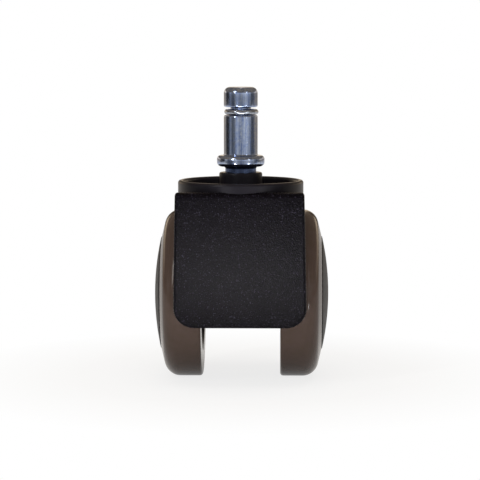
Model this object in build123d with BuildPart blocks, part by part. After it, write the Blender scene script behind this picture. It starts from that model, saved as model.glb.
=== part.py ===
from build123d import *
import os
from math import asin, atan2, cos, degrees, hypot, radians, sin, sqrt, tan

# Office chair castor with two wheels, in millimetres.
# Z is the stem's axis, and Z = 0 is the seat, the upper face of the stem's flange.
# The hood's front faces -Y, and the axle lies along X behind the stem.

# Stem, a turned steel pin
STEM_D = 10.8
SHANK_LENGTH = 12.8
HEAD_LENGTH = 6.4
HEAD_ROUND = 2.0
NECK_D = 6.5
FLANGE_D = 15.2
FLANGE_T = 3.55
FLANGE_ROUND = 1.3
JOURNAL_D = 9.9
EDGE_ROUND = 0.5

# Grip ring, a split wire ring that lies loose round the neck
GRIP_D = 10.9
GRIP_WIRE_D = 1.8
GRIP_PLAY = 0.8
GRIP_LIFT = 0.15
GRIP_SHIFT = 0.2
GRIP_SPLIT = 25.0

# Bore for the stem, with its retaining ring and thrust disc
BORE_CLEARANCE = 0.05
BORE_DEPTH = 25.4
BORE_FLOOR = 2.0
TUBE_WALL = 1.9
THRUST_T = 1.2
THRUST_GAP = 0.05
THRUST_SIDE_GAP = 0.1
RETAINER_T = 1.2
RETAINER_REACH = 0.5
RETAINER_GROOVE = 0.75
RETAINER_SEAT_GAP = 0.15
RETAINER_SLACK = 0.3
RETAINER_DROP = 18.4
RETAINER_SPLIT = 50.0

# Drum, the round collar with a well about the stem's boss
BOSS_GAP = 1.9
DRUM_D = 40.2
DRUM_WALL = 2.0
DRUM_BELOW_BOSS = 2.5
DRUM_ROUND = 0.9
WELL_DEPTH = 6.2
WELL_FLOOR_T = 2.0
WELL_ROUND = 1.0

# Hood over the wheels
RIDGE_DROP = 2.4
RIDGE_ROUND = 1.8
HOOD_LEAD = 0.6
HOOD_SIDE_LEDGE = 0.1
HOOD_FLARE = 1.0
HOOD_SKIRT = 7.7
HOOD_TOE = 3.3
HOOD_CORNER = 6.5
HOOD_EDGE = 1.0
SKIN = 2.3
ROOF_T = 2.2
ROOF_END = 35.0
ARCH_T = 2.0
ARCH_GAP = 1.6
ARCH_UNDER_FLOOR = 1.25
POCKET_FROM = 122.0
POCKET_TO = 173.0
POCKETS = 3
POCKET_RIB = 1.6

# Web and ribs between the wheels, which carry the axle
WEB_T = 3.0
WEB_SKIRT = 5.5
RIBS = 8
RIB_T = 1.8
RIB_INSET = 0.5
RIB_START_TURN = 4.0
RIB_END_TURN = 10.0
AXLE_BOSS_WALL = 3.0

# Axle and wheels
AXLE_D = 8.0
AXLE_FIT = 0.03
AXLE_TIP = 1.05
AXLE_CHAMFER = 0.6
TRAIL = 18.0
WHEEL_D = 55.0
WHEEL_GAP = 25.5
WASHER_T = 0.7
WASHER_D = 13.0
WASHER_BORE_GAP = 0.1
END_PLAY = 0.1
RUN_CLEARANCE = 0.05
BUSH_WALL = 1.45
HUB_WALL = 2.5
HUB_RECESS = 1.6
CLIP_T = 0.8
CLIP_D = 13.0
CLIP_GAP = 0.15
CORE_RECESS = 1.2
CORE_WEB = 2.4
CORE_RIBS = 10
CORE_RIB_T = 1.6
RIM_WALL = 2.2
KEY_WIDTH = 3.5
KEY_HEIGHT = 1.4

# Tread, moulded round the core
TREAD_T = 8.2
TREAD_WIDTH = 13.55
TREAD_INNER_ROUND = 1.0
TREAD_OUTER_ROUND = 5.2
SIDE_TAPER = 13.5
LIP_HEIGHT = 0.55
LIP_DEPTH = 1.1

# Cover, a domed cap with a skirt that snaps into the rim
COVER_GAP = 0.15
COVER_PROUD = 0.2
COVER_DOME = 2.1
COVER_WALL = 1.8
COVER_EDGE = 0.3
SKIRT_GAP = 0.2
SKIRT_WALL = 1.5
SKIRT_DEPTH = 2.6
SKIRT_RIB_GAP = 0.4

# Heights along the stem
neck_bottom = SHANK_LENGTH
neck_top = neck_bottom + GRIP_WIRE_D + GRIP_PLAY
stem_top = neck_top + HEAD_LENGTH
flange_bottom = -FLANGE_T
boss_top = flange_bottom - BOSS_GAP
bore_bottom = boss_top - BORE_DEPTH
tube_bottom = bore_bottom - BORE_FLOOR
thrust_top = bore_bottom + THRUST_T
stem_bottom = thrust_top + THRUST_GAP
retainer_z = boss_top - RETAINER_DROP

# Radii about the stem
stem_r = STEM_D / 2
journal_r = JOURNAL_D / 2
bore_r = journal_r + BORE_CLEARANCE
tube_r = bore_r + TUBE_WALL
retainer_r = journal_r + RETAINER_REACH
groove_r = journal_r - RETAINER_GROOVE
drum_r = DRUM_D / 2
well_r = drum_r - DRUM_WALL

# Heights of the drum and the hood
drum_top = boss_top - DRUM_BELOW_BOSS
well_floor = drum_top - WELL_DEPTH
drum_bottom = well_floor - WELL_FLOOR_T
ridge_z = drum_top - RIDGE_DROP

# Axle, placed under the arch that clears the wheels
wheel_r = WHEEL_D / 2
arch_r = wheel_r + ARCH_GAP
roof_r = arch_r + ROOF_T
axle_z = drum_bottom - ARCH_UNDER_FLOOR - arch_r
hood_bottom = axle_z - HOOD_SKIRT
toe_y = TRAIL - sqrt(arch_r**2 - HOOD_SKIRT**2) - HOOD_TOE
front_y = -drum_r - HOOD_LEAD
hood_half = drum_r + HOOD_SIDE_LEDGE

# Stations along the axle, from the middle outwards
wheel_x = WHEEL_GAP / 2
boss_x = wheel_x - END_PLAY - WASHER_T
lip_x = wheel_x + TREAD_WIDTH
rim_x = lip_x - LIP_DEPTH
hub_x = rim_x - HUB_RECESS
clip_x = hub_x + CLIP_GAP
axle_x = clip_x + CLIP_T + AXLE_TIP
skirt_x = rim_x - SKIRT_DEPTH
core_web_x = wheel_x + CORE_RECESS
core_rib_x = core_web_x + CORE_WEB
cover_edge_x = lip_x + COVER_PROUD
cover_top_x = cover_edge_x + COVER_DOME
key_x = (wheel_x + rim_x) / 2

# Radii about the axle
axle_r = AXLE_D / 2
axle_boss_r = axle_r + AXLE_FIT + AXLE_BOSS_WALL
bush_bore_r = axle_r + RUN_CLEARANCE
bush_r = bush_bore_r + BUSH_WALL
hub_r = bush_r + HUB_WALL
rim_r = wheel_r - TREAD_T
rim_bore_r = rim_r - RIM_WALL
lip_r = rim_r - LIP_HEIGHT
cover_r = lip_r - COVER_GAP
skirt_r = rim_bore_r - SKIRT_GAP

SIDES = {"right": 1, "left": -1}
axle_line = Axis((0, TRAIL, axle_z), (1, 0, 0))


def outline(plane, corners):
    """A closed outline on a plane, from corners that each have a point and a radius."""
    points = [point for point, _ in corners]
    rounds = [corner_round for _, corner_round in corners]
    with BuildSketch(plane) as sketch:
        with BuildLine():
            FilletPolyline(*points, radius=rounds, close=True)
        make_face()
    return sketch.sketch


def wheel_plane(side):
    """The plane through the axle whose x runs outwards and whose y is the height."""
    return Plane(origin=(0, TRAIL, axle_z), x_dir=(side, 0, 0), z_dir=(0, -side, 0))


def cross_plane(x):
    """The plane across the axle at station x, with Y and Z as its own axes."""
    return Plane(origin=(x, TRAIL, axle_z), x_dir=(0, 1, 0), z_dir=(1, 0, 0))


os.makedirs("parts", exist_ok=True)

# Stem
with BuildPart() as stem:
    stem_points = [
        ((0, stem_top), 0),
        ((stem_r, stem_top), HEAD_ROUND),
        ((stem_r, neck_top), EDGE_ROUND),
        ((NECK_D / 2, neck_top), EDGE_ROUND / 2),
        ((NECK_D / 2, neck_bottom), EDGE_ROUND / 2),
        ((stem_r, neck_bottom), EDGE_ROUND),
        ((stem_r, 0), 0),
        ((FLANGE_D / 2, 0), FLANGE_ROUND),
        ((FLANGE_D / 2, flange_bottom), FLANGE_ROUND),
        ((journal_r, flange_bottom), EDGE_ROUND * 1.6),
        ((journal_r, retainer_z + RETAINER_T / 2), 0),
        ((groove_r, retainer_z + RETAINER_T / 2), 0),
        ((groove_r, retainer_z - RETAINER_T / 2), 0),
        ((journal_r, retainer_z - RETAINER_T / 2), 0),
        ((journal_r, stem_bottom), EDGE_ROUND * 1.6),
        ((0, stem_bottom), 0),
    ]
    revolve(outline(Plane.XZ, stem_points), axis=Axis.Z)
stem.part.label = "stem"
export_step(stem.part, "parts/stem.step")

# Grip ring, open at the back
grip_z = neck_bottom + GRIP_WIRE_D / 2 + GRIP_LIFT
grip_axis = Axis((GRIP_SHIFT, 0, grip_z), (0, 0, 1))
with BuildPart() as grip_ring:
    ring_start = Plane(
        origin=(GRIP_SHIFT, 0, grip_z),
        x_dir=(sin(radians(GRIP_SPLIT / 2)), cos(radians(GRIP_SPLIT / 2)), 0),
        z_dir=(cos(radians(GRIP_SPLIT / 2)), -sin(radians(GRIP_SPLIT / 2)), 0),
    )
    with BuildSketch(ring_start):
        with Locations(((GRIP_D - GRIP_WIRE_D) / 2, 0)):
            Circle(GRIP_WIRE_D / 2)
    revolve(axis=grip_axis, revolution_arc=GRIP_SPLIT - 360)
grip_ring.part.label = "grip_ring"
export_step(grip_ring.part, "parts/grip_ring.step")

# Retaining ring, a flat split ring in the journal's groove
with BuildPart() as stem_retaining_ring:
    with BuildSketch(Plane.XY.offset(retainer_z - RETAINER_T / 2)):
        Circle(retainer_r)
        Circle(groove_r + RETAINER_SEAT_GAP, mode=Mode.SUBTRACT)
        with Locations((0, retainer_r)):
            Rectangle(
                2 * retainer_r * sin(radians(RETAINER_SPLIT / 2)),
                2 * retainer_r * cos(radians(RETAINER_SPLIT / 2)),
                mode=Mode.SUBTRACT,
            )
    extrude(amount=RETAINER_T)
stem_retaining_ring.part.label = "stem_retaining_ring"
export_step(stem_retaining_ring.part, "parts/stem_retaining_ring.step")

# Thrust disc at the bottom of the bore
with BuildPart() as thrust_disc:
    with BuildSketch(Plane.XY.offset(bore_bottom)):
        Circle(bore_r - THRUST_SIDE_GAP)
    extrude(amount=THRUST_T)
thrust_disc.part.label = "thrust_disc"
export_step(thrust_disc.part, "parts/thrust_disc.step")

# Hood's side outline: a front that leans back to the toe, a straight deck that
# meets the roof band in a tangent, and the arch over the wheels
reach = hypot(TRAIL - front_y, axle_z - ridge_z)
deck_angle = atan2(axle_z - ridge_z, TRAIL - front_y) + asin(roof_r / reach)
deck_length = sqrt(reach**2 - roof_r**2)
roof_start = (front_y + deck_length * cos(deck_angle), ridge_z + deck_length * sin(deck_angle))
front_rise = ridge_z - hood_bottom
front_bend = ((toe_y - front_y) ** 2 + front_rise**2) / (2 * (toe_y - front_y))
roof_from = 90 + degrees(deck_angle)
arch_to = 180 + degrees(asin(HOOD_SKIRT / arch_r))


def round_axle(radius, angle):
    """A point at a radius and angle about the axle, in the side view."""
    return (TRAIL + radius * cos(radians(angle)), axle_z + radius * sin(radians(angle)))


def on_hood_rim(edge):
    """True for the edges where the hood's outer skin turns into its sides and toe."""
    points = [edge @ place for place in (0, 0.5, 1)]
    on_skin = all(hypot(p.Y - TRAIL, p.Z - axle_z) > roof_r - ROOF_T / 8 for p in points)
    at_side = abs(points[1].X) > hood_half / 2
    at_toe = abs(points[1].Z - hood_bottom) < ROOF_T / 8
    return on_skin and (at_side or at_toe)


with BuildPart() as housing:
    with BuildSketch(Plane.YZ):
        with BuildLine():
            Line((front_y, ridge_z), roof_start)
            CenterArc((TRAIL, axle_z), roof_r, roof_from, ROOF_END - roof_from)
            Line(round_axle(roof_r, ROOF_END), round_axle(arch_r, ROOF_END))
            CenterArc((TRAIL, axle_z), arch_r, ROOF_END, arch_to - ROOF_END)
            Line(round_axle(arch_r, arch_to), (toe_y, hood_bottom))
            TangentArc((front_y, ridge_z), (toe_y, hood_bottom), tangent=(0, -1))
        ridge_face = make_face()
        fillet(ridge_face.vertices().sort_by(Axis.X)[0], RIDGE_ROUND)
    extrude(amount=hood_half + HOOD_FLARE, both=True)

    # Front outline: sides that flare a little downwards, with round lower corners
    flare_rate = HOOD_FLARE / front_rise
    with BuildSketch(Plane.XZ):
        with BuildLine():
            Polyline(
                (-hood_half + flare_rate * RIDGE_DROP, drum_top),
                (hood_half - flare_rate * RIDGE_DROP, drum_top),
                (hood_half + HOOD_FLARE, hood_bottom),
                (-hood_half - HOOD_FLARE, hood_bottom),
                close=True,
            )
        front_face = make_face()
        fillet(front_face.vertices().sort_by(Axis.Y)[:2], HOOD_CORNER)
    extrude(amount=roof_r * 2 + TRAIL, both=True, mode=Mode.INTERSECT)
    fillet(housing.edges().filter_by(on_hood_rim), HOOD_EDGE)

    # Pockets between the skin and the arch, cored from both sides up to the web
    deck_drop = SKIN / cos(deck_angle)
    for side in SIDES.values():
        with BuildSketch(cross_plane(side * WEB_T / 2)):
            with Locations((front_y + front_bend - TRAIL, ridge_z - axle_z)):
                Circle(front_bend - SKIN)
            with BuildLine():
                Polyline(
                    (front_y - TRAIL, ridge_z - axle_z - deck_drop),
                    (0, ridge_z - axle_z - deck_drop + (TRAIL - front_y) * tan(deck_angle)),
                    (0, 0),
                    (front_y - TRAIL, 0),
                    close=True,
                )
            make_face(mode=Mode.INTERSECT)
            Circle(arch_r + ARCH_T, mode=Mode.SUBTRACT)
            with BuildLine():
                Polyline(
                    (0, 0),
                    (2 * reach * cos(radians(POCKET_FROM)), 2 * reach * sin(radians(POCKET_FROM))),
                    (-2 * reach, 2 * reach),
                    (2 * reach * cos(radians(POCKET_TO)), 2 * reach * sin(radians(POCKET_TO))),
                    close=True,
                )
            make_face(mode=Mode.INTERSECT)
            for rib in range(1, POCKETS):
                turn = POCKET_FROM + (POCKET_TO - POCKET_FROM) * rib / POCKETS
                with Locations(Rotation(0, 0, turn)):
                    Rectangle(4 * reach, POCKET_RIB, mode=Mode.SUBTRACT)
        extrude(amount=side * (hood_half + HOOD_FLARE), mode=Mode.SUBTRACT)

    # Web between the wheels, from the arch to the axle
    with BuildSketch(Plane.YZ):
        with Locations((TRAIL, axle_z)):
            Circle(arch_r + ROOF_T / 2)
        with BuildLine():
            Polyline(
                (front_y, axle_z - WEB_SKIRT),
                (TRAIL + axle_boss_r / 2, axle_z - WEB_SKIRT),
                (TRAIL + axle_boss_r, axle_z),
                round_axle(arch_r + ROOF_T / 2, ROOF_END + 2),
                (TRAIL, ridge_z),
                (front_y, ridge_z),
                close=True,
            )
        make_face(mode=Mode.INTERSECT)
    extrude(amount=WEB_T / 2, both=True)

    # Ribs that stand on the web like spokes
    rib_reach = arch_r + ROOF_T / 2
    rib_fan = arch_to - ROOF_END - RIB_END_TURN
    with BuildSketch(cross_plane(0)):
        with PolarLocations(rib_reach / 2, RIBS, ROOF_END + RIB_START_TURN, rib_fan, endpoint=True):
            Rectangle(rib_reach, RIB_T)
    extrude(amount=boss_x - RIB_INSET, both=True)
    with BuildSketch(cross_plane(0)):
        Circle(axle_boss_r)
    extrude(amount=boss_x, both=True)

    # Room for the well and the bore
    inside_wall = drum_r - DRUM_WALL / 2
    inside_floor = well_floor - WELL_FLOOR_T / 2
    inside_tube = (bore_r + tube_r) / 2
    inside_end = bore_bottom - BORE_FLOOR / 2
    with BuildSketch(Plane.XZ):
        with BuildLine():
            Polyline(
                (0, drum_top),
                (inside_wall, drum_top),
                (inside_wall, inside_floor),
                (inside_tube, inside_floor),
                (inside_tube, inside_end),
                (0, inside_end),
                close=True,
            )
        make_face()
    revolve(axis=Axis.Z, mode=Mode.SUBTRACT)

    # Drum, well, boss and bore, turned about the stem
    recess_r = retainer_r + RETAINER_SLACK
    recess_half = RETAINER_T / 2 + RETAINER_SLACK
    drum_points = [
        ((bore_r, boss_top), 0),
        ((tube_r, boss_top), WELL_ROUND * 0.6),
        ((tube_r, well_floor), WELL_ROUND),
        ((well_r, well_floor), WELL_ROUND),
        ((well_r, drum_top), DRUM_ROUND),
        ((drum_r, drum_top), DRUM_ROUND),
        ((drum_r, drum_bottom), 0),
        ((tube_r, drum_bottom), WELL_ROUND),
        ((tube_r, tube_bottom), WELL_ROUND),
        ((0, tube_bottom), 0),
        ((0, bore_bottom), 0),
        ((bore_r, bore_bottom), 0),
        ((bore_r, retainer_z - recess_half), 0),
        ((recess_r, retainer_z - recess_half), 0),
        ((recess_r, retainer_z + recess_half), 0),
        ((bore_r, retainer_z + recess_half), 0),
    ]
    revolve(outline(Plane.XZ, drum_points), axis=Axis.Z)

    # Bore for the axle
    with BuildSketch(cross_plane(0)):
        Circle(axle_r + AXLE_FIT)
    extrude(amount=boss_x, both=True, mode=Mode.SUBTRACT)
housing.part.label = "housing"
export_step(housing.part, "parts/housing.step")

# Axle
with BuildPart() as axle:
    with BuildSketch(cross_plane(0)):
        Circle(axle_r)
    extrude(amount=axle_x, both=True)
    chamfer(axle.edges().filter_by(GeomType.CIRCLE), AXLE_CHAMFER)
axle.part.label = "axle"
export_step(axle.part, "parts/axle.step")


def ring(side, start_x, length, outer_r, inner_r):
    """A plain ring about the axle, from one station outwards."""
    with BuildPart() as made:
        with BuildSketch(cross_plane(side * start_x)):
            Circle(outer_r)
            Circle(inner_r, mode=Mode.SUBTRACT)
        extrude(amount=side * length)
    return made.part


def wheel_core(side):
    """Hub, web and rim turned about the axle, with spokes of rib on the outer side."""
    key_from = key_x - KEY_WIDTH / 2
    key_to = key_x + KEY_WIDTH / 2
    with BuildPart() as core:
        with BuildSketch(wheel_plane(side)):
            with BuildLine():
                Polyline(
                    (wheel_x, bush_r),
                    (wheel_x, hub_r),
                    (core_web_x, hub_r),
                    (core_web_x, rim_bore_r),
                    (wheel_x, rim_bore_r),
                    (wheel_x, rim_r),
                    (key_from, rim_r),
                    (key_from, rim_r + KEY_HEIGHT),
                    (key_to, rim_r + KEY_HEIGHT),
                    (key_to, rim_r),
                    (rim_x, rim_r),
                    (rim_x, rim_bore_r),
                    (core_rib_x, rim_bore_r),
                    (core_rib_x, hub_r),
                    (hub_x, hub_r),
                    (hub_x, bush_r),
                    close=True,
                )
            make_face()
        revolve(axis=axle_line)
        rib_middle = (hub_r + rim_bore_r) / 2
        rib_length = rim_bore_r - hub_r + min(HUB_WALL, RIM_WALL)
        with BuildSketch(cross_plane(side * core_rib_x)):
            with PolarLocations(rib_middle, CORE_RIBS):
                Rectangle(rib_length, CORE_RIB_T)
        extrude(amount=side * (skirt_x - SKIRT_RIB_GAP - core_rib_x))
    return core.part


def tread(side):
    """The tyre: a flat crown, a large outer round, a tapered side and a lip over the rim."""
    taper = tan(radians(SIDE_TAPER))
    key_from = key_x - KEY_WIDTH / 2
    key_to = key_x + KEY_WIDTH / 2
    points = [
        ((wheel_x, rim_r), 0),
        ((wheel_x, wheel_r), TREAD_INNER_ROUND),
        ((lip_x - (wheel_r - lip_r) * taper, wheel_r), TREAD_OUTER_ROUND),
        ((lip_x, lip_r), 0),
        ((rim_x, lip_r), 0),
        ((rim_x, rim_r), 0),
        ((key_to, rim_r), 0),
        ((key_to, rim_r + KEY_HEIGHT), 0),
        ((key_from, rim_r + KEY_HEIGHT), 0),
        ((key_from, rim_r), 0),
    ]
    with BuildPart() as tyre:
        revolve(outline(wheel_plane(side), points), axis=axle_line)
    return tyre.part


def wheel_cover(side):
    """The domed cap, with a skirt inside the rim."""
    with BuildPart() as cover:
        with BuildSketch(wheel_plane(side)):
            with BuildLine():
                Line((cover_top_x, 0), (cover_top_x - COVER_WALL, 0))
                TangentArc(
                    (cover_top_x - COVER_WALL, 0),
                    (cover_edge_x - COVER_WALL + SKIRT_GAP, skirt_r - SKIRT_WALL),
                    tangent=(0, 1),
                )
                Polyline(
                    (cover_edge_x - COVER_WALL + SKIRT_GAP, skirt_r - SKIRT_WALL),
                    (skirt_x, skirt_r - SKIRT_WALL),
                    (skirt_x, skirt_r),
                    (rim_x, skirt_r),
                    (rim_x, cover_r),
                    (cover_edge_x, cover_r),
                )
                TangentArc((cover_top_x, 0), (cover_edge_x, cover_r), tangent=(0, 1))
            cover_face = make_face()
            rim_corner = cover_face.vertices().group_by(Axis.Y)[-1].sort_by(Axis.X)
            fillet(rim_corner[-1] if side > 0 else rim_corner[0], COVER_EDGE)
        revolve(axis=axle_line)
    return cover.part


for name, side in SIDES.items():
    pieces = {
        "washer": ring(side, boss_x, WASHER_T, WASHER_D / 2, axle_r + WASHER_BORE_GAP),
        "core": wheel_core(side),
        "bush": ring(side, wheel_x, hub_x - wheel_x, bush_r, bush_bore_r),
        "tread": tread(side),
        "cover": wheel_cover(side),
        "clip": ring(side, clip_x, CLIP_T, CLIP_D / 2, axle_r + AXLE_FIT),
    }
    for piece, part in pieces.items():
        part.label = f"{piece}_{name}"
        export_step(part, f"parts/{piece}_{name}.step")
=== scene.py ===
"""Office chair castor: the finishes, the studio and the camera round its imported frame."""

import logging
import math
from dataclasses import dataclass, field
from enum import Enum
from typing import Any, Iterable, Sequence

import bmesh
import bpy
from mathutils import Matrix, Vector


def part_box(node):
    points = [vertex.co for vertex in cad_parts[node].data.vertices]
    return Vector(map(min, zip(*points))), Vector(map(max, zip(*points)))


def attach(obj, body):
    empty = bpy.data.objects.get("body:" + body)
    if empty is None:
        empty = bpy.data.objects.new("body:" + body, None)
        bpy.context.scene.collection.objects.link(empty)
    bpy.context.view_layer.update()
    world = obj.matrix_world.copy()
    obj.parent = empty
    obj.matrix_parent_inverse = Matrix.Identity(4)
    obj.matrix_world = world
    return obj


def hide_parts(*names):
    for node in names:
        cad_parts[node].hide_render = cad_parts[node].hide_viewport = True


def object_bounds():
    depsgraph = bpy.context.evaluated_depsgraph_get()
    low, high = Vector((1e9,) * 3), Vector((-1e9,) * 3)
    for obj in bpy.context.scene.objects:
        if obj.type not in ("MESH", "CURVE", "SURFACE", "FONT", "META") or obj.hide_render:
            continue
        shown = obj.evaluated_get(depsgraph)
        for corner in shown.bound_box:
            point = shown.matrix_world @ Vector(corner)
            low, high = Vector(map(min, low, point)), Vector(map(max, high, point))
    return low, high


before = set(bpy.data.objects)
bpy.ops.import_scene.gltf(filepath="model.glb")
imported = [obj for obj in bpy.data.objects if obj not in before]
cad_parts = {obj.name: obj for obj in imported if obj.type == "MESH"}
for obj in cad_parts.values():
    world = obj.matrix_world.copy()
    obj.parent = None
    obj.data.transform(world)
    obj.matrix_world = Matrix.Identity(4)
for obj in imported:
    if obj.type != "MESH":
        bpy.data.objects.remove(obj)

CAD_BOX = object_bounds()
MM = 0.001
SHARP_FROM = 32.0
LOG = logging.getLogger("castor")

Point = tuple[float, float]
Corner = tuple[float, float, float]


class Side(Enum):
    """The two wheels, by the direction in which each one faces along X."""

    LEFT = -1
    RIGHT = 1

    @property
    def word(self) -> str:
        """The side's word in the names of its pieces."""
        return self.name.lower()


class Slot(Enum):
    """The record's material slots of the pieces that are built here."""

    ZINC = "zinc_steel"
    SPRING = "spring_steel"
    HOOD = "black_nylon"
    CORE = "core_nylon"
    COVER = "cover_nylon"
    TREAD = "taupe_polyurethane"


def linear(colour: str) -> tuple[float, float, float, float]:
    """Turns an sRGB hex colour to linear.

    Args:
        colour: six hex digits, with or without a leading hash.

    Returns:
        The linear red, green and blue, and an alpha of 1.
    """
    digits = colour.lstrip("#")
    values = [int(digits[i:i + 2], 16) / 255 for i in (0, 2, 4)]
    lin = [v / 12.92 if v <= 0.04045 else ((v + 0.055) / 1.055) ** 2.4 for v in values]
    return (lin[0], lin[1], lin[2], 1.0)


def add_node(
    tree: bpy.types.NodeTree, kind: str, values: dict[Any, Any] | None = None, **settings: Any
) -> Any:
    """Adds a node with its settings, socket values and links.

    Args:
        tree: the node tree that gets the node.
        kind: the node's type, such as ShaderNodeTexNoise.
        values: for each input, by name or number, a value or an output socket to link.
        settings: attributes of the node.

    Returns:
        The new node.
    """
    node = tree.nodes.new(kind)
    for name, setting in settings.items():
        setattr(node, name, setting)
    for key, value in (values or {}).items():
        if isinstance(value, bpy.types.NodeSocket):
            tree.links.new(value, node.inputs[key])
        else:
            node.inputs[key].default_value = value
    return node


def per_mm(size: float) -> float:
    """The scale of a texture whose features are about size millimetres wide."""
    return 1 / (size * MM)


@dataclass(frozen=True)
class Finish:
    """A surface finish: the material's name, colour and gloss.

    The plastics' IOR is set below the real 1.5, so that they mirror this white tent as
    little as the photograph shows. The metals keep the shader's own IOR.
    """

    name: str
    colour: str
    roughness: float
    ior: float = 1.5
    metallic: float = 0.0

    def start(self) -> tuple[bpy.types.Material, bpy.types.NodeTree, Any, Any]:
        """Makes the material with its shader and its object coordinates.

        Returns:
            The material, its tree, the shader node and the coordinate socket.
        """
        material = bpy.data.materials.new(self.name)
        material.use_nodes = True
        tree = material.node_tree
        tree.nodes.clear()
        shader = add_node(tree, "ShaderNodeBsdfPrincipled", {
            "Base Color": linear(self.colour),
            "Roughness": self.roughness,
            "IOR": self.ior,
            "Metallic": self.metallic,
        })
        add_node(tree, "ShaderNodeOutputMaterial", {"Surface": shader.outputs["BSDF"]})
        coords = add_node(tree, "ShaderNodeTexCoord").outputs["Object"]
        return material, tree, shader, coords

    def vary(
        self, tree: bpy.types.NodeTree, noise: Any, low: float, high: float
    ) -> Any:
        """Maps a noise's middle range to the span from low to high.

        Args:
            tree: the material's tree.
            noise: the noise's output socket.
            low: the value at the noise's darker part.
            high: the value at its lighter part.

        Returns:
            The output socket.
        """
        ranged = add_node(tree, "ShaderNodeMapRange", {
            "Value": noise, "From Min": 0.3, "From Max": 0.7, "To Min": low, "To Max": high,
        })
        return ranged.outputs["Result"]


@dataclass(frozen=True)
class ZincPlate(Finish):
    """Bright zinc on turned steel: a cold mirror, with runs along the pin and cloudy patches.

    The zinc's crystals are far under a pixel. The runs and patches that stand for them are drawn
    much coarser, so that they show.
    """

    darker: str = "7189C0"
    run_width: float = 0.45
    run_length: float = 9.0
    patch: float = 1.3
    depth: float = 0.003

    def build(self) -> bpy.types.Material:
        """Makes the plated material, whose runs lie along the stem's axis.

        Returns:
            The material.
        """
        material, tree, shader, coords = self.start()
        drawn_out = add_node(tree, "ShaderNodeMapping", {
            "Vector": coords, "Scale": (1.0, 1.0, self.run_width / self.run_length),
        })
        runs = add_node(tree, "ShaderNodeTexNoise", {
            "Vector": drawn_out.outputs["Vector"], "Scale": per_mm(self.run_width), "Detail": 2.0,
        })
        patches = add_node(tree, "ShaderNodeTexNoise", {
            "Vector": coords, "Scale": per_mm(self.patch), "Detail": 4.0, "Roughness": 0.6,
        })
        both = add_node(tree, "ShaderNodeMix", {
            0: 0.5, 2: runs.outputs["Fac"], 3: patches.outputs["Fac"],
        })
        shade = add_node(tree, "ShaderNodeMix", {
            0: self.vary(tree, both.outputs["Result"], 0.0, 1.0),
            6: linear(self.darker), 7: linear(self.colour),
        }, data_type="RGBA")
        tree.links.new(shade.outputs[2], shader.inputs["Base Color"])
        rough = self.vary(tree, patches.outputs["Fac"], self.roughness * 1.25, self.roughness * 0.8)
        tree.links.new(rough, shader.inputs["Roughness"])
        bump = add_node(tree, "ShaderNodeBump", {
            "Height": runs.outputs["Fac"], "Distance": self.depth * MM, "Strength": 0.6,
        })
        tree.links.new(bump.outputs["Normal"], shader.inputs["Normal"])
        return material


@dataclass(frozen=True)
class GrainedNylon(Finish):
    """Nylon moulded against an etched tool: fine grain, with sparse pale specks that paint its
    glints.

    The tool's grain is about 0.3 mm, less than a pixel, and is drawn coarser so that it shows.
    """

    grain: float = 0.45
    depth: float = 0.1
    lighter: str = "08060B"
    painted_glint: str = "322F3A"
    painted_glint_share: tuple[float, float] = (0.58, 0.68)

    def build(self) -> bpy.types.Material:
        """Makes the moulded material.

        Returns:
            The material.
        """
        material, tree, shader, coords = self.start()
        grain = add_node(tree, "ShaderNodeTexVoronoi", {
            "Vector": coords, "Scale": per_mm(self.grain), "Randomness": 1.0,
        })
        fine = add_node(tree, "ShaderNodeTexNoise", {
            "Vector": coords, "Scale": per_mm(self.grain), "Detail": 3.0, "Roughness": 0.65,
        })
        shade = add_node(tree, "ShaderNodeMix", {
            0: self.vary(tree, fine.outputs["Fac"], 0.0, 1.0),
            6: linear(self.colour), 7: linear(self.lighter),
        }, data_type="RGBA")
        # Pale specks where the noise is high: painted glints in the base colour.
        painted_glint_mask = add_node(tree, "ShaderNodeMapRange", {
            "Value": fine.outputs["Fac"],
            "From Min": self.painted_glint_share[0], "From Max": self.painted_glint_share[1],
        })
        with_painted_glints = add_node(tree, "ShaderNodeMix", {
            0: painted_glint_mask.outputs["Result"], 6: shade.outputs[2], 7: linear(self.painted_glint),
        }, data_type="RGBA")
        tree.links.new(with_painted_glints.outputs[2], shader.inputs["Base Color"])
        rough = self.vary(tree, fine.outputs["Fac"], self.roughness + 0.08, self.roughness - 0.08)
        tree.links.new(rough, shader.inputs["Roughness"])
        height = add_node(tree, "ShaderNodeMath", {
            0: grain.outputs["Distance"], 1: fine.outputs["Fac"],
        }, operation="ADD")
        bump = add_node(tree, "ShaderNodeBump", {
            "Height": height.outputs["Value"], "Distance": self.depth * MM, "Strength": 1.0,
        })
        tree.links.new(bump.outputs["Normal"], shader.inputs["Normal"])
        return material


@dataclass(frozen=True)
class MouldedGloss(Finish):
    """A polymer moulded against a smooth tool: soft gloss, clouded colour, slight flow marks."""

    lighter: str = "101013"
    flow_width: float = 6.0
    flow_depth: float = 0.02
    cloud: float = 2.5

    def build(self) -> bpy.types.Material:
        """Makes the moulded material.

        Returns:
            The material.
        """
        material, tree, shader, coords = self.start()
        flow = add_node(tree, "ShaderNodeTexNoise", {
            "Vector": coords, "Scale": per_mm(self.flow_width), "Detail": 2.0,
        })
        clouds = add_node(tree, "ShaderNodeTexNoise", {
            "Vector": coords, "Scale": per_mm(self.cloud), "Detail": 2.0,
        })
        shade = add_node(tree, "ShaderNodeMix", {
            0: self.vary(tree, clouds.outputs["Fac"], 0.0, 1.0),
            6: linear(self.colour), 7: linear(self.lighter),
        }, data_type="RGBA")
        tree.links.new(shade.outputs[2], shader.inputs["Base Color"])
        rough = self.vary(tree, clouds.outputs["Fac"], self.roughness * 0.92, self.roughness * 1.08)
        tree.links.new(rough, shader.inputs["Roughness"])
        bump = add_node(tree, "ShaderNodeBump", {
            "Height": flow.outputs["Fac"], "Distance": self.flow_depth * MM, "Strength": 0.35,
        })
        tree.links.new(bump.outputs["Normal"], shader.inputs["Normal"])
        return material


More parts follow.
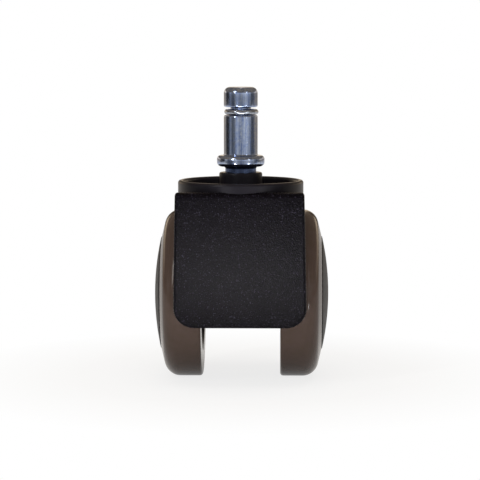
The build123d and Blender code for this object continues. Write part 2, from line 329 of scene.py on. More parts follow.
@dataclass(frozen=True)
class Finishes:
    """Every finish of the castor, made once."""

    zinc: bpy.types.Material
    greased: bpy.types.Material
    spring: bpy.types.Material
    hood: bpy.types.Material
    drum: bpy.types.Material
    core: bpy.types.Material
    cover: bpy.types.Material
    acetal: bpy.types.Material
    tread: bpy.types.Material

    @classmethod
    def make(cls) -> "Finishes":
        """Makes the materials."""
        return cls(
            # Turned steel with a bright blue-passivated zinc coat: sharp, cold reflections.
            zinc=ZincPlate("bright_zinc_plated_steel", "CFD9E8", 0.17, metallic=1.0).build(),
            # The same coat, darker and bluer, with blurred lights: painted shade on the journal
            # under the flange.
            greased=ZincPlate(
                "greased_zinc_plated_steel", "6E7FA6", 0.32, metallic=1.0, darker="4A5674"
            ).build(),
            # Cold-drawn wire and strip, uncoated: neutral grey, a little duller than the zinc.
            spring=ZincPlate(
                "drawn_spring_steel", "BCC2CC", 0.22, metallic=1.0, darker="8C93A0"
            ).build(),
            # Black nylon from an etched tool: near black, hardly shiny, with small pale specks
            # painted in as glints.
            hood=GrainedNylon("grained_black_nylon", "040305", 0.26, ior=1.14).build(),
            # The same nylon where the tool is turned smooth: soft, broad lights round the drum.
            drum=MouldedGloss(
                "smooth_black_nylon", "17151B", 0.3, ior=1.27, lighter="1B191F"
            ).build(),
            # Unpolished nylon of the wheels' cores: dull black, with the faintest cloudiness.
            core=MouldedGloss("plain_black_nylon", "0D0D10", 0.45, ior=1.46).build(),
            # ABS covers from a satin tool: dark grey, with a wide sheen that follows the dome.
            cover=MouldedGloss(
                "semi_gloss_black_ABS", "141416", 0.46, ior=1.25, lighter="171719"
            ).build(),
            # Uncoloured acetal: an off-white, waxy and slightly glossy plastic.
            acetal=MouldedGloss(
                "natural_acetal", "D6D3CB", 0.35, ior=1.48, lighter="DCDAD2"
            ).build(),
            # Cast polyurethane, taupe all through: even colour, with thin, clear highlights.
            tread=MouldedGloss(
                "taupe_cast_polyurethane", "463A33", 0.15, ior=1.28, lighter="493C37"
            ).build(),
        )


def rounded(corners: Sequence[Corner], steps: int = 8) -> list[Point]:
    """Follows straight runs between corners, and turns each corner on its arc.

    Args:
        corners: each corner's two coordinates and its radius, in millimetres.
        steps: the straight pieces that stand for a quarter turn.

    Returns:
        The points of the open line, in millimetres.
    """
    line: list[Point] = []
    for i, (x, y, radius) in enumerate(corners):
        here = Vector((x, y))
        if radius <= 0 or i in (0, len(corners) - 1):
            line.append((x, y))
            continue
        back = (Vector(corners[i - 1][:2]) - here).normalized()
        ahead = (Vector(corners[i + 1][:2]) - here).normalized()
        half = back.angle(ahead) / 2
        reach = radius / math.tan(half)
        middle = here + (back + ahead).normalized() * radius / math.sin(half)
        start = here + back * reach - middle
        turn = math.pi - 2 * half
        sign = 1 if back.x * ahead.y - back.y * ahead.x < 0 else -1
        count = max(2, round(steps * turn / (math.pi / 2)))
        for k in range(count + 1):
            spun = Matrix.Rotation(sign * turn * k / count, 2) @ start
            line.append(tuple(middle + spun))
    return line


def add_piece(
    mesh: bpy.types.Mesh, name: str, body: str, replaced: Iterable[str] = ()
) -> bpy.types.Object:
    """Puts a mesh in the scene as a piece that rides on a body.

    Args:
        mesh: the piece's mesh, in place.
        name: the piece's name.
        body: the CAD body that carries it.
        replaced: the CAD nodes that it stands for.

    Returns:
        The new object.
    """
    piece = bpy.data.objects.new(name, mesh)
    bpy.context.scene.collection.objects.link(piece)
    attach(piece, body)
    if replaced:
        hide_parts(*replaced)
    LOG.info("%s: %d faces on %s", name, len(mesh.polygons), body)
    return piece


def lathe(
    name: str, profile: Sequence[Point], place: Matrix, segments: int = 192, closed: bool = False
) -> bpy.types.Mesh:
    """Turns a profile of radii and heights about an axis.

    Args:
        name: the mesh's name.
        profile: radius and height of each point, in millimetres.
        place: turns and moves the turned shape, whose axis is Z, to its place in metres.
        segments: the steps round the axis.
        closed: True if the profile's last point joins its first.

    Returns:
        The mesh, with its edges sharp where the profile turns hard.
    """
    bm = bmesh.new()
    rings = []
    for radius, height in profile:
        if radius < 1e-6:
            rings.append([bm.verts.new((0, 0, height * MM))])
            continue
        rings.append([
            bm.verts.new((
                radius * MM * math.cos(2 * math.pi * k / segments),
                radius * MM * math.sin(2 * math.pi * k / segments),
                height * MM,
            ))
            for k in range(segments)
        ])
    pairs = list(zip(rings, rings[1:]))
    if closed:
        pairs.append((rings[-1], rings[0]))
    for low, high in pairs:
        for k in range(segments):
            after = (k + 1) % segments
            if len(low) == 1 and len(high) == 1:
                continue
            if len(low) == 1:
                bm.faces.new((low[0], high[after], high[k]))
            elif len(high) == 1:
                bm.faces.new((low[k], low[after], high[0]))
            else:
                bm.faces.new((low[k], low[after], high[after], high[k]))
    bmesh.ops.recalc_face_normals(bm, faces=bm.faces)
    bm.transform(place)
    mesh = bpy.data.meshes.new(name)
    bm.to_mesh(mesh)
    bm.free()
    mesh.shade_smooth()
    mesh.set_sharp_from_angle(angle=math.radians(SHARP_FROM))
    return mesh


def start_tree(name: str, inputs: dict[str, str]) -> tuple[bpy.types.NodeTree, Any]:
    """Starts a Geometry Nodes tree with its named inputs.

    Args:
        name: the tree's name.
        inputs: each input's name, with its socket type.

    Returns:
        The tree and its Group Input node.
    """
    tree = bpy.data.node_groups.new(name, "GeometryNodeTree")
    tree.interface.new_socket("Geometry", in_out="OUTPUT", socket_type="NodeSocketGeometry")
    for title, kind in inputs.items():
        tree.interface.new_socket(title, in_out="INPUT", socket_type=kind)
    return tree, add_node(tree, "NodeGroupInput")


def end_tree(
    tree: bpy.types.NodeTree, geometry: bpy.types.NodeSocket, material: bpy.types.NodeSocket
) -> None:
    """Ends a tree in Realize Instances and Set Material.

    Args:
        tree: the tree.
        geometry: the socket that carries the shape.
        material: the tree's material input.
    """
    realized = add_node(tree, "GeometryNodeRealizeInstances", {"Geometry": geometry})
    dressed = add_node(tree, "GeometryNodeSetMaterial", {
        "Geometry": realized.outputs["Geometry"], "Material": material,
    })
    add_node(tree, "NodeGroupOutput", {"Geometry": dressed.outputs["Geometry"]})


def run_tree(tree: bpy.types.NodeTree, name: str, values: dict[str, Any]) -> bpy.types.Mesh:
    """Runs a tree on an empty holder and keeps its result as a plain mesh.

    Args:
        tree: the tree.
        name: the mesh's name.
        values: each input's value by its name.

    Returns:
        The plain mesh.
    """
    holder = bpy.data.objects.new(name, bpy.data.meshes.new(name))
    bpy.context.scene.collection.objects.link(holder)
    modifier = holder.modifiers.new(tree.name, "NODES")
    modifier.node_group = tree
    for item in tree.interface.items_tree:
        if item.in_out == "INPUT":
            modifier[item.identifier] = values[item.name]
    evaluated = holder.evaluated_get(bpy.context.evaluated_depsgraph_get())
    mesh = bpy.data.meshes.new_from_object(evaluated)
    holder.modifiers.remove(modifier)
    bpy.data.objects.remove(holder)
    mesh.name = name
    return mesh


def wire_tree() -> bpy.types.NodeTree:
    """Makes the tree that bends a round wire to an open ring, with its ends at the back.

    Returns:
        The tree.
    """
    tree, given = start_tree("bent_wire_ring", {
        "Ring Radius": "NodeSocketFloat", "Wire Radius": "NodeSocketFloat",
        "Start": "NodeSocketFloat", "Sweep": "NodeSocketFloat",
        "Middle": "NodeSocketVector", "Material": "NodeSocketMaterial",
    })
    path = add_node(tree, "GeometryNodeCurveArc", {
        "Resolution": 97, "Radius": given.outputs["Ring Radius"],
        "Start Angle": given.outputs["Start"], "Sweep Angle": given.outputs["Sweep"],
    }, mode="RADIUS")
    section = add_node(tree, "GeometryNodeCurvePrimitiveCircle", {
        "Resolution": 24, "Radius": given.outputs["Wire Radius"],
    }, mode="RADIUS")
    wire = add_node(tree, "GeometryNodeCurveToMesh", {
        "Curve": path.outputs["Curve"], "Profile Curve": section.outputs["Curve"],
        "Fill Caps": True,
    })
    placed = add_node(tree, "GeometryNodeTransform", {
        "Geometry": wire.outputs["Mesh"], "Translation": given.outputs["Middle"],
    })
    end_tree(tree, placed.outputs["Geometry"], given.outputs["Material"])
    return tree


def spoke_tree() -> bpy.types.NodeTree:
    """Makes the tree that sets flat ribs round an axis like spokes.

    Returns:
        The tree.
    """
    tree, given = start_tree("spoke_ribs", {
        "Count": "NodeSocketInt", "Size": "NodeSocketVector",
        "Middle": "NodeSocketVector", "Material": "NodeSocketMaterial",
    })
    rib = add_node(tree, "GeometryNodeMeshCube", {"Size": given.outputs["Size"]})
    reached = add_node(tree, "GeometryNodeTransform", {
        "Geometry": rib.outputs["Mesh"], "Translation": given.outputs["Middle"],
    })
    points = add_node(tree, "GeometryNodePoints", {"Count": given.outputs["Count"]})
    step = add_node(tree, "ShaderNodeMath", {
        0: 2 * math.pi, 1: given.outputs["Count"],
    }, operation="DIVIDE")
    angle = add_node(tree, "ShaderNodeMath", {
        0: add_node(tree, "GeometryNodeInputIndex").outputs["Index"], 1: step.outputs["Value"],
    }, operation="MULTIPLY")
    about_z = add_node(tree, "ShaderNodeCombineXYZ", {"Z": angle.outputs["Value"]})
    turn = add_node(tree, "FunctionNodeEulerToRotation", {"Euler": about_z.outputs["Vector"]})
    spokes = add_node(tree, "GeometryNodeInstanceOnPoints", {
        "Points": points.outputs["Geometry"], "Instance": reached.outputs["Geometry"],
        "Rotation": turn.outputs["Rotation"],
    })
    end_tree(tree, spokes.outputs["Instances"], given.outputs["Material"])
    return tree


@dataclass
class Stem:
    """The stem and its rings. Heights are above the seat, in millimetres."""

    finishes: Finishes
    radius: float = 5.4
    shank_top: float = 12.8
    neck_radius: float = 3.25
    neck_height: float = 2.6
    head_height: float = 6.4
    head_round: float = 2.0
    edge_round: float = 0.5
    foot_round: float = 0.45
    flange_radius: float = 7.6
    flange_height: float = 3.55
    flange_round: float = 1.3
    journal_radius: float = 4.95
    bottom: float = field(init=False)
    wire_radius: float = 0.9
    ring_radius: float = 4.55
    ring_shift: float = 0.2
    ring_split: float = 25.0

    def __post_init__(self) -> None:
        """Takes the stem's lower end from its CAD node."""
        self.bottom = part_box("stem")[0][2] / MM

    def build(self) -> None:
        """Builds the stem and the grip ring, and dresses the rest."""
        self.build_pin()
        self.build_grip_ring()
        dress("stem_retaining_ring", self.finishes.spring)

    def build_pin(self) -> None:
        """Turns the stem, from the middle of its head down to its end."""
        neck_top = self.shank_top + self.neck_height
        top = neck_top + self.head_height
        edge = self.edge_round
        corners = [
            (0, top, 0),
            (self.radius, top, self.head_round),
            (self.radius, neck_top, edge),
            (self.neck_radius, neck_top, edge / 2),
            (self.neck_radius, self.shank_top, edge / 2),
            (self.radius, self.shank_top, edge),
            (self.radius, 0, self.foot_round),
            (self.flange_radius, 0, self.flange_round),
            (self.flange_radius, -self.flange_height, self.flange_round),
            (self.journal_radius, -self.flange_height, edge * 1.6),
            (self.journal_radius, self.bottom, edge),
            (0, self.bottom, 0),
        ]
        mesh = lathe("stem_pin", rounded(corners), Matrix.Identity(4))
        mesh.materials.append(self.finishes.zinc)
        mesh.materials.append(self.finishes.greased)
        for polygon in mesh.polygons:
            # Below the flange the stem gets the darker zinc, which paints the shade under the
            # flange.
            polygon.material_index = int(polygon.center.z < -self.flange_height * MM)
        add_piece(mesh, "stem_pin", "stem", ["stem"])

    def build_grip_ring(self) -> None:
        """Bends the split wire ring round the neck, with its ends at the back."""
        middle_z = sum(corner[2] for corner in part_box("grip_ring")) / 2
        mesh = run_tree(wire_tree(), "grip_ring_wire", {
            "Ring Radius": self.ring_radius * MM,
            "Wire Radius": self.wire_radius * MM,
            "Start": math.radians(90 + self.ring_split / 2),
            "Sweep": math.radians(360 - self.ring_split),
            "Middle": (self.ring_shift * MM, 0.0, middle_z),
            "Material": self.finishes.spring,
        })
        mesh.shade_smooth()
        mesh.set_sharp_from_angle(angle=math.radians(SHARP_FROM))
        add_piece(mesh, "grip_ring_wire", "stem", ["grip_ring"])


def dress(node: str, material: bpy.types.Material) -> None:
    """Gives a CAD node its material.

    Args:
        node: the node's name.
        material: the finish that it gets.
    """
    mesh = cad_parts[node].data
    mesh.materials.clear()
    mesh.materials.append(material)


@dataclass
class Housing:
    """The moulded housing: a smooth drum and a grained hood, from the CAD node's own surface.

    Its edge rounds have few sides, so an edge stays sharp from a small angle on. Smoothed over,
    the rounds would bend the light on the narrow rims beside them.
    """

    finishes: Finishes
    drum_radius: float = 20.1
    drum_bottom: float = -16.15
    drum_slack: float = 0.02
    weld: float = 0.002
    sharp_angle: float = 10.0

    def build(self) -> None:
        """Builds the housing and dresses the small pieces that it carries."""
        self.build_shell()
        dress("thrust_disc", self.finishes.zinc)
        dress("axle", self.finishes.zinc)
        for side in Side:
            dress(f"washer_{side.word}", self.finishes.acetal)
            dress(f"clip_{side.word}", self.finishes.spring)

    def build_shell(self) -> None:
        """Copies the housing's surface, welds it, and smooths it face by face."""
        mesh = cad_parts["housing"].data.copy()
        mesh.name = "housing_shell"
        bm = bmesh.new()
        bm.from_mesh(mesh)
        bmesh.ops.remove_doubles(bm, verts=bm.verts, dist=self.weld * MM)
        bmesh.ops.dissolve_degenerate(bm, edges=bm.edges, dist=self.weld * MM)
        bm.to_mesh(mesh)
        bm.free()
        mesh.shade_smooth()
        mesh.set_sharp_from_angle(angle=math.radians(self.sharp_angle))
        mesh.materials.clear()
        mesh.materials.append(self.finishes.hood)
        mesh.materials.append(self.finishes.drum)
        for polygon in mesh.polygons:
            corners = [mesh.vertices[v].co / MM for v in polygon.vertices]
            in_drum = all(
                math.hypot(c.x, c.y) < self.drum_radius + self.drum_slack for c in corners
            )
            above = all(c.z > self.drum_bottom - self.drum_slack for c in corners)
            polygon.material_index = int(in_drum and above)
        piece = add_piece(mesh, "housing_shell", "housing", ["housing"])
        weighted = piece.modifiers.new("even_normals", "WEIGHTED_NORMAL")
        weighted.keep_sharp = True
        weighted.weight = 90


@dataclass
class Wheel:
    """One wheel. Stations run outwards along the axle, in millimetres."""

    finishes: Finishes
    side: Side
    radius: float = 27.5
    inner: float = 12.75
    width: float = 13.55
    tread: float = 8.2
    inner_round: float = 1.0
    outer_round: float = 5.2
    side_taper: float = 13.5
    lip_height: float = 0.55
    lip_depth: float = 1.1
    cover_gap: float = 0.15
    cover_proud: float = 0.2
    cover_dome: float = 2.1
    cover_edge: float = 0.3
    rim_wall: float = 2.2
    skirt_depth: float = 2.6
    bush_radius: float = 5.5
    hub_radius: float = 8.0
    hub_recess: float = 1.6
    web_recess: float = 1.2
    web: float = 2.4
    ribs: int = 10
    rib_thickness: float = 1.6
    rib_gap: float = 0.4
    key_width: float = 3.5
    key_height: float = 1.4
    moulded_edge: float = 0.25
    place: Matrix = field(init=False)

    def __post_init__(self) -> None:
        """Finds the axle from the tread's own box, and faces the wheel outwards."""
        low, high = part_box(f"tread_{self.side.word}")
        middle = Vector((0, (low[1] + high[1]) / 2, (low[2] + high[2]) / 2))
        turn = Matrix.Rotation(math.radians(90) * self.side.value, 4, "Y")
        self.place = Matrix.Translation(middle) @ turn

    @property
    def body(self) -> str:
        """The CAD body that the wheel turns with."""
        return f"wheel_{self.side.word}"

    @property
    def seat(self) -> float:
        """The station of the rim's outer edge, where the cover sits."""
        return self.inner + self.width - self.lip_depth

    @property
    def key_middle(self) -> float:
        """The station of the ring that keys the tread to the rim."""
        return (self.inner + self.seat) / 2

    def build(self) -> None:
        """Builds the tread, the core and the cover, and dresses the bush."""
        self.build_tread()
        self.build_core()
        self.build_cover()
        dress(f"bush_{self.side.word}", self.finishes.acetal)

    def build_tread(self) -> None:
        """Turns the tread: a flat crown, a large round, a tapered side and the lip."""
        rim = self.radius - self.tread
        lip = rim - self.lip_height
        outer = self.inner + self.width
        crown = outer - (self.radius - lip) * math.tan(math.radians(self.side_taper))
        corners = [
            (rim, self.inner, 0),
            (self.radius, self.inner, self.inner_round),
            (self.radius, crown, self.outer_round),
            (lip, outer, 0.15),
            (lip, outer - self.lip_depth, 0),
            (rim, outer - self.lip_depth, 0),
            (rim, self.key_middle + self.key_width / 2, 0),
            (rim + self.key_height, self.key_middle + self.key_width / 2, 0),
            (rim + self.key_height, self.key_middle - self.key_width / 2, 0),
            (rim, self.key_middle - self.key_width / 2, 0),
        ]
        name = f"tread_{self.side.word}_tyre"
        mesh = lathe(name, rounded(corners, 16), self.place, 256, closed=True)
        mesh.materials.append(self.finishes.tread)
        add_piece(mesh, name, self.body, [f"tread_{self.side.word}"])

    def build_core(self) -> None:
        """Turns the core's hub, web and rim, and stands its ribs on the web."""
        rim = self.radius - self.tread
        bore = rim - self.rim_wall
        web_from = self.inner + self.web_recess
        web_to = web_from + self.web
        hub_to = self.seat - self.hub_recess
        edge = self.moulded_edge
        corners = [
            (self.bush_radius, self.inner, 0),
            (self.hub_radius, self.inner, edge),
            (self.hub_radius, web_from, edge),
            (bore, web_from, edge),
            (bore, self.inner, edge),
            (rim, self.inner, 0),
            (rim, self.key_middle - self.key_width / 2, 0),
            (rim + self.key_height, self.key_middle - self.key_width / 2, 0),
            (rim + self.key_height, self.key_middle + self.key_width / 2, 0),
            (rim, self.key_middle + self.key_width / 2, 0),
            (rim, self.seat, 0),
            (bore, self.seat, 0),
            (bore, web_to, edge),
            (self.hub_radius, web_to, edge),
            (self.hub_radius, hub_to, 0),
            (self.bush_radius, hub_to, 0),
        ]
        name = f"core_{self.side.word}_spider"
        mesh = lathe(name, rounded(corners, 4), Matrix.Identity(4), 144, closed=True)
        mesh.materials.append(self.finishes.core)
        rib_to = self.seat - self.skirt_depth - self.rib_gap
        ribs = run_tree(spoke_tree(), "core_ribs", {
            "Count": self.ribs,
            "Size": (
                (bore - self.hub_radius + self.rim_wall) * MM,
                self.rib_thickness * MM,
                (rib_to - web_to + self.web / 2) * MM,
            ),
            "Middle": (
                (bore + self.hub_radius) / 2 * MM, 0.0, (rib_to + web_to - self.web / 2) / 2 * MM,
            ),
            "Material": self.finishes.core,
        })
        bm = bmesh.new()
        bm.from_mesh(mesh)
        bm.from_mesh(ribs)
        bm.transform(self.place)
        bm.to_mesh(mesh)
        bm.free()
        bpy.data.meshes.remove(ribs)
        add_piece(mesh, name, self.body, [f"core_{self.side.word}"])

    def build_cover(self) -> None:
        """Turns the domed cover and its skirt."""
        rim = self.radius - self.tread
        edge_r = rim - self.lip_height - self.cover_gap
        edge_x = self.inner + self.width + self.cover_proud
        seat_x = self.inner + self.width - self.lip_depth
        skirt_r = rim - self.rim_wall - 0.2
        dome_r = (edge_r**2 + self.cover_dome**2) / (2 * self.cover_dome)
        top = edge_x + self.cover_dome
        dome = [
            (edge_r * k / 24, top - dome_r + math.sqrt(dome_r**2 - (edge_r * k / 24) ** 2), 0)
            for k in range(24)
        ]
        corners = dome + [
            (edge_r, edge_x, self.cover_edge),
            (edge_r, seat_x, 0),
            (skirt_r, seat_x, 0),
            (skirt_r, seat_x - self.skirt_depth, 0),
            (skirt_r - 1.5, seat_x - self.skirt_depth, 0),
            (skirt_r - 1.5, seat_x + 0.2, 0),
            (0, seat_x + 1.0, 0),
        ]
        name = f"cover_{self.side.word}_cap"
        mesh = lathe(name, rounded(corners), self.place, 192)
        mesh.materials.append(self.finishes.cover)
        add_piece(mesh, name, self.body, [f"cover_{self.side.word}"])


def area_lamp(name: str, size: tuple[float, float], level: float) -> bpy.types.Object:
    """Adds a rectangular lamp that the camera itself doesn't see.

    Args:
        name: the lamp's name.
        size: its width and height, in metres.
        level: how bright it looks, where 1 is white.

    Returns:
        The lamp's object, to be placed.
    """
    lamp = bpy.data.lights.new(name, "AREA")
    lamp.shape = "RECTANGLE"
    lamp.size, lamp.size_y = size
    lamp.energy = level * math.pi * size[0] * size[1]
    holder = bpy.data.objects.new(name, lamp)
    holder.visible_camera = False
    bpy.context.scene.collection.objects.link(holder)
    return holder


@dataclass(frozen=True)
class SoftBox:
    """A lamp by its bearing from the camera's side, its height angle, its size and its level.

    One that isn't mirrored is a fill, which no reflection shows.
    """

    name: str
    bearing: float
    rise: float
    size: tuple[float, float]
    level: float
    distance: float = 1.0
    mirrored: bool = True

    def build(self, target: Vector) -> None:
        """Hangs the lamp so that it faces the target.

        Args:
            target: the point that it faces, in metres.
        """
        bearing, rise = math.radians(self.bearing), math.radians(self.rise)
        away = Vector((
            math.sin(bearing) * math.cos(rise),
            -math.cos(bearing) * math.cos(rise),
            math.sin(rise),
        ))
        holder = area_lamp(self.name, self.size, self.level)
        holder.location = target + away * self.distance
        holder.rotation_euler = (-away).to_track_quat("-Z", "Y").to_euler()
        holder.visible_glossy = self.mirrored


@dataclass
class Studio:
    """A white table, a light tent, soft boxes and the camera.

    The tent's walls are bands of level by bearing: 0 is the camera's side, and 180 is behind. The
    storeys are bands by height angle, which the walls are multiplied by. The sky lies over them.
    The backdrop is the white behind the castor, as its reflections show it.
    """

    aim: tuple[float, float, float] = (0.0, 0.0, -0.04)
    table_front: float = -0.092
    table_back: float = 1.5
    table_half: float = 0.8
    table_gap: float = 0.0002
    table_white: tuple[float, float] = (0.8, 1.0)
    table_fade: tuple[float, float] = (0.055, 0.105)
    castor_middle: tuple[float, float] = (0.0, 0.018)
    mirrored_white: float = 0.4
    lens: float = 154.73
    sensor: float = 36.0
    camera_at: tuple[float, float, float] = (12.6, -660.0, 38.4)
    look_down: float = 5.687
    turn: float = 1.1145
    walls: tuple[tuple[float, float], ...] = (
        (-180, 0.0), (-166, 0.0), (-160, 0.46), (-122, 0.44), (-114, 0.03), (-84, 0.03),
        (-79, 0.29), (-66, 0.18), (-60, 0.08), (-40, 0.09), (-30, 0.37), (-18, 0.36),
        (-8, 0.25), (8, 0.25), (18, 0.37), (46, 0.43), (56, 0.3), (70, 0.3),
        (76, 0.08), (100, 0.09), (110, 0.33), (160, 0.42), (166, 0.0), (180, 0.0),
    )
    storeys: tuple[tuple[float, float], ...] = (
        (-90, 0.1), (-45, 0.3), (-38, 3.0), (-28, 2.6), (-18, 1.2), (-10, 1.0), (3, 1.0),
        (5.5, 3.0), (12, 3.0),
        (15, 0.0), (90, 0.0),
    )
    sky: tuple[tuple[float, float], ...] = (
        (-90, 0.0), (12, 0.0), (17, 0.22), (50, 0.25), (90, 0.28),
    )
    backdrop: tuple[tuple[float, float], ...] = (
        (-180, 1.0), (-175, 1.0), (-172, 0.0), (172, 0.0), (175, 1.0), (180, 1.0),
    )
    warm: str = "FFE9CC"
    warm_from: tuple[float, float] = (90.0, 115.0)
    warm_above: tuple[float, float] = (10.0, 17.0)
    boxes: tuple[SoftBox, ...] = (
        SoftBox("left_strip", -41, 31, (0.03, 0.56), 40.0),
        SoftBox("right_strip", 44, 22, (0.045, 0.4), 4.0),
        SoftBox("left_spot", -26, -14, (0.08, 0.06), 60.0, 0.8),
        SoftBox("right_spot", 40, -14, (0.08, 0.06), 60.0, 0.8),
        SoftBox("ceiling", 0, 80, (0.9, 0.7), 2.2, 0.9, mirrored=False),
        SoftBox("front_fill", 0, 30, (0.6, 0.4), 1.0, 1.2, mirrored=False),
    )
    card_size: tuple[float, float] = (0.06, 0.07)
    card_from: float = -0.05
    card_level: float = 10.0
    card_lift: float = 0.0005

    def build(self) -> None:
        """Sets the view, the table, the lamps, the tent and the camera."""
        bpy.context.scene.view_settings.view_transform = "Standard"
        self.build_table()
        for box in self.boxes:
            box.build(Vector(self.aim))
        self.build_card()
        self.build_tent()
        self.build_camera()

    def build_card(self) -> None:
        """Lays a bright card on the table, which lights the hood's lower half from below."""
        holder = area_lamp("front_card", self.card_size, self.card_level)
        middle = self.card_from - self.card_size[1] / 2
        holder.location = (0.0, middle, CAD_BOX[0][2] + self.card_lift)
        holder.rotation_euler = (math.pi, 0.0, 0.0)

    def build_table(self) -> None:
        """Lays the pale table top under the wheels, with the shadow that falls on it."""
        bm = bmesh.new()
        height = CAD_BOX[0][2] - self.table_gap
        corners = [
            (-self.table_half, self.table_front), (self.table_half, self.table_front),
            (self.table_half, self.table_back), (-self.table_half, self.table_back),
        ]
        bm.faces.new([bm.verts.new((x, y, height)) for x, y in corners])
        mesh = bpy.data.meshes.new("table_top")
        bm.to_mesh(mesh)
        bm.free()
        table = bpy.data.objects.new("table_top", mesh)
        bpy.context.scene.collection.objects.link(table)
        material = bpy.data.materials.new("white_laminate")
        material.use_nodes = True
        tree = material.node_tree
        tree.nodes.clear()
        laminate = add_node(tree, "ShaderNodeBsdfDiffuse", {"Color": linear("F4F4F4")})
        white = add_node(tree, "ShaderNodeEmission", {"Strength": 1.0})
        mixed = add_node(tree, "ShaderNodeMixShader", {
            0: self.seen_white(tree), 1: laminate.outputs["BSDF"], 2: white.outputs["Emission"],
        })
        add_node(tree, "ShaderNodeOutputMaterial", {"Surface": mixed.outputs["Shader"]})
        mesh.materials.append(material)

    def seen_white(self, tree: bpy.types.NodeTree) -> bpy.types.NodeSocket:
        """Finds how white the table shows: fully so far from the castor, less in its shadow.

        Args:
            tree: the table's tree.

        Returns:
            A socket with the share of plain white: 0 but for the camera, a reflection or glass.
        """
        path = add_node(tree, "ShaderNodeLightPath")
        centred = add_node(tree, "ShaderNodeMapping", {
            "Vector": add_node(tree, "ShaderNodeTexCoord").outputs["Object"],
            "Location": (-self.castor_middle[0], -self.castor_middle[1], 0.0),
            "Scale": (1.0, 1.0, 0.0),
        })
        away = add_node(tree, "ShaderNodeVectorMath", {
            0: centred.outputs["Vector"],
        }, operation="LENGTH")
        share = add_node(tree, "ShaderNodeMapRange", {
            "Value": away.outputs["Value"],
            "From Min": self.table_fade[0], "From Max": self.table_fade[1],
            "To Min": self.table_white[0], "To Max": self.table_white[1],
        })
        direct = add_node(tree, "ShaderNodeMath", {
            0: path.outputs["Is Camera Ray"], 1: share.outputs["Result"],
        }, operation="MULTIPLY")
        mirrored = add_node(tree, "ShaderNodeMath", {
            0: path.outputs["Is Glossy Ray"], 1: path.outputs["Is Transmission Ray"],
        }, operation="MAXIMUM")
        dimmed = add_node(tree, "ShaderNodeMath", {
            0: mirrored.outputs["Value"], 1: self.mirrored_white,
        }, operation="MULTIPLY")
        return add_node(tree, "ShaderNodeMath", {
            0: direct.outputs["Value"], 1: dimmed.outputs["Value"],
        }, operation="MAXIMUM").outputs["Value"]

    def add_levels(
        self, tree: bpy.types.NodeTree, angle: Any, span: float, levels: Sequence[Point]
    ) -> bpy.types.NodeSocket:
        """Turns an angle to a level, along straight runs between stops.

        Args:
            tree: the world's tree.
            angle: the angle's socket, in radians.
            span: the largest angle, in degrees; the smallest is its negative.
            levels: each stop's angle in degrees and its level.

        Returns:
            The level's socket.
        """
        share = add_node(tree, "ShaderNodeMapRange", {
            "Value": angle, "From Min": -math.radians(span), "From Max": math.radians(span),
        })
        ramp = add_node(tree, "ShaderNodeValToRGB", {"Fac": share.outputs["Result"]})
        stops = ramp.color_ramp.elements
        for degrees, _ in levels[1:-1]:
            stops.new((degrees + span) / (2 * span))
        for stop, (degrees, level) in zip(stops, levels):
            stop.position = (degrees + span) / (2 * span)
            stop.color = (level, level, level, 1)
        return ramp.outputs["Color"]

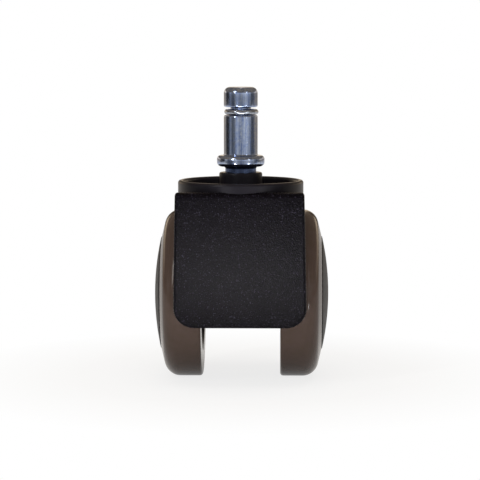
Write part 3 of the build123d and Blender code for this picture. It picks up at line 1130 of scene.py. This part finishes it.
    def build_tent(self) -> None:
        """Makes the tent from bands of level, and plain white for the camera."""
        world = bpy.data.worlds.new("light_tent")
        bpy.context.scene.world = world
        world.use_nodes = True
        tree = world.node_tree
        tree.nodes.clear()
        way = add_node(tree, "ShaderNodeSeparateXYZ", {
            "Vector": add_node(tree, "ShaderNodeTexCoord").outputs["Generated"],
        })
        ahead = add_node(tree, "ShaderNodeMath", {
            0: way.outputs["Y"], 1: -1.0,
        }, operation="MULTIPLY")
        bearing = add_node(tree, "ShaderNodeMath", {
            0: way.outputs["X"], 1: ahead.outputs["Value"],
        }, operation="ARCTAN2")
        rise = add_node(tree, "ShaderNodeMath", {0: way.outputs["Z"]}, operation="ARCSINE")
        wall = self.add_levels(tree, bearing.outputs["Value"], 180, self.walls)
        storey = self.add_levels(tree, rise.outputs["Value"], 90, self.storeys)
        behind = self.add_levels(tree, bearing.outputs["Value"], 180, self.backdrop)
        room = add_node(tree, "ShaderNodeMath", {0: wall, 1: storey}, operation="MULTIPLY")
        above = self.add_levels(tree, rise.outputs["Value"], 90, self.sky)
        lit = add_node(tree, "ShaderNodeMath", {
            0: room.outputs["Value"], 1: above,
        }, operation="MAXIMUM")
        level = add_node(tree, "ShaderNodeMath", {
            0: lit.outputs["Value"], 1: behind,
        }, operation="MAXIMUM")
        aside = add_node(tree, "ShaderNodeMath", {
            0: bearing.outputs["Value"],
        }, operation="ABSOLUTE")
        warmth = add_node(tree, "ShaderNodeMapRange", {
            "Value": aside.outputs["Value"],
            "From Min": math.radians(self.warm_from[0]),
            "From Max": math.radians(self.warm_from[1]),
        })
        higher = add_node(tree, "ShaderNodeMapRange", {
            "Value": rise.outputs["Value"],
            "From Min": math.radians(self.warm_above[0]),
            "From Max": math.radians(self.warm_above[1]),
        })
        either = add_node(tree, "ShaderNodeMath", {
            0: warmth.outputs["Result"], 1: higher.outputs["Result"],
        }, operation="MAXIMUM")
        tint = add_node(tree, "ShaderNodeMix", {
            0: either.outputs["Value"], 6: (1, 1, 1, 1), 7: linear(self.warm),
        }, data_type="RGBA")
        tent = add_node(tree, "ShaderNodeBackground", {
            "Color": tint.outputs[2], "Strength": level.outputs["Value"],
        })
        white = add_node(tree, "ShaderNodeBackground", {"Color": (1, 1, 1, 1), "Strength": 1.0})
        path = add_node(tree, "ShaderNodeLightPath")
        mixed = add_node(tree, "ShaderNodeMixShader", {
            0: path.outputs["Is Camera Ray"],
            1: tent.outputs["Background"], 2: white.outputs["Background"],
        })
        add_node(tree, "ShaderNodeOutputWorld", {"Surface": mixed.outputs["Shader"]})

    def build_camera(self) -> None:
        """Places the camera a little to the right of the castor and above it."""
        data = bpy.data.cameras.new("photo_camera")
        data.lens = self.lens
        data.sensor_width = self.sensor
        data.clip_start = 0.01
        camera = bpy.data.objects.new("photo_camera", data)
        camera.location = Vector(self.camera_at) * MM
        camera.rotation_euler = (math.radians(90 - self.look_down), 0, math.radians(self.turn))
        bpy.context.scene.collection.objects.link(camera)
        bpy.context.scene.camera = camera


def main() -> None:
    """Builds the castor and the studio."""
    logging.basicConfig(level=logging.INFO, format="%(name)s: %(message)s")
    finishes = Finishes.make()
    Stem(finishes).build()
    Housing(finishes).build()
    for side in Side:
        Wheel(finishes, side).build()
    Studio().build()


if __name__ == "__main__":
    main()
